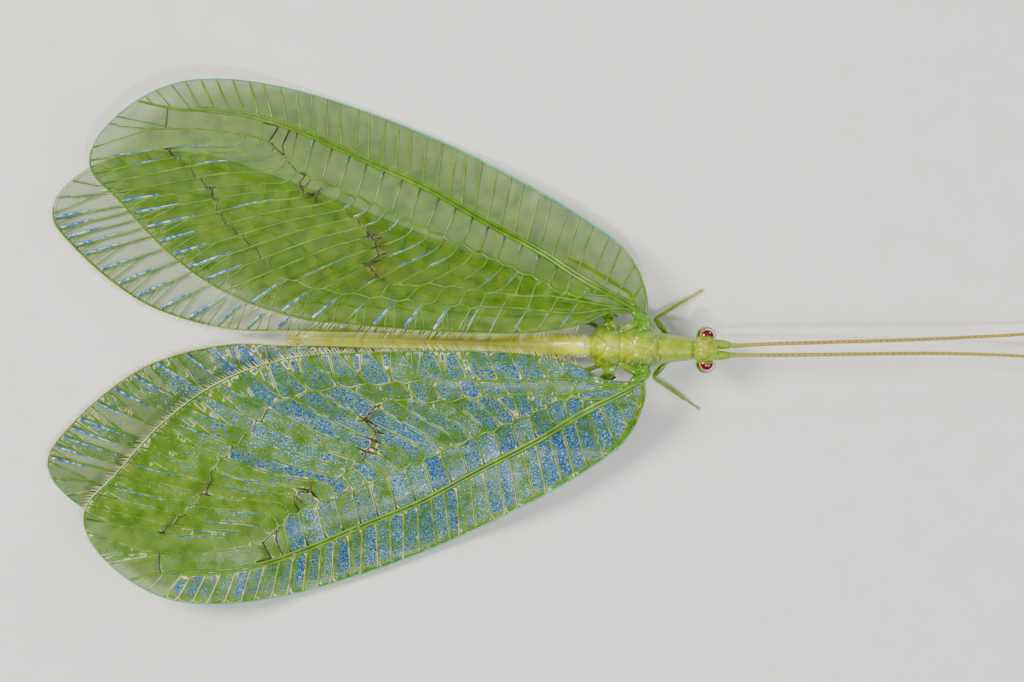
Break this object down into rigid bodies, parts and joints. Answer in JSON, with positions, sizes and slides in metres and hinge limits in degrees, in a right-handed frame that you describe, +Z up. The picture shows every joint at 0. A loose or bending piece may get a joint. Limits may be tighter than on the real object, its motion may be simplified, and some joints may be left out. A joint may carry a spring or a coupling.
{
  "type": "green lacewing",
  "caption": "Life-size green lacewing resting flat, with long net-veined wings spread back over the body and fine feelers held straight ahead.",
  "frame": {"origin": "on the floor, under the middle of the box round the whole insect, wings and feelers included", "axes": "+X along the body to the head and feelers, +Y to the insect's left, +Z up"},
  "size_m": [0.0414, 0.0169, 0.0026],
  "materials": {
    "body": "glossy yellow-green skin",
    "eye": "glassy, with a metallic sheen",
    "antenna": "satin straw, finely ringed",
    "leg": "translucent pale green",
    "wing": "clear membrane with green veins and a blue shimmer"
  },
  "bodies": {
    "root": {"head": "body", "eye_left": "eye", "eye_right": "eye", "antenna_left": "antenna", "antenna_right": "antenna", "prothorax": "body", "mesothorax": "body", "metathorax": "body", "abdomen": "body", "leg_fore_left": "leg", "leg_fore_right": "leg", "leg_mid_left": "leg", "leg_mid_right": "leg", "leg_hind_left": "leg", "leg_hind_right": "leg", "forewing_left": "wing", "forewing_right": "wing", "hindwing_left": "wing", "hindwing_right": "wing"}
  },
  "joints": []
}
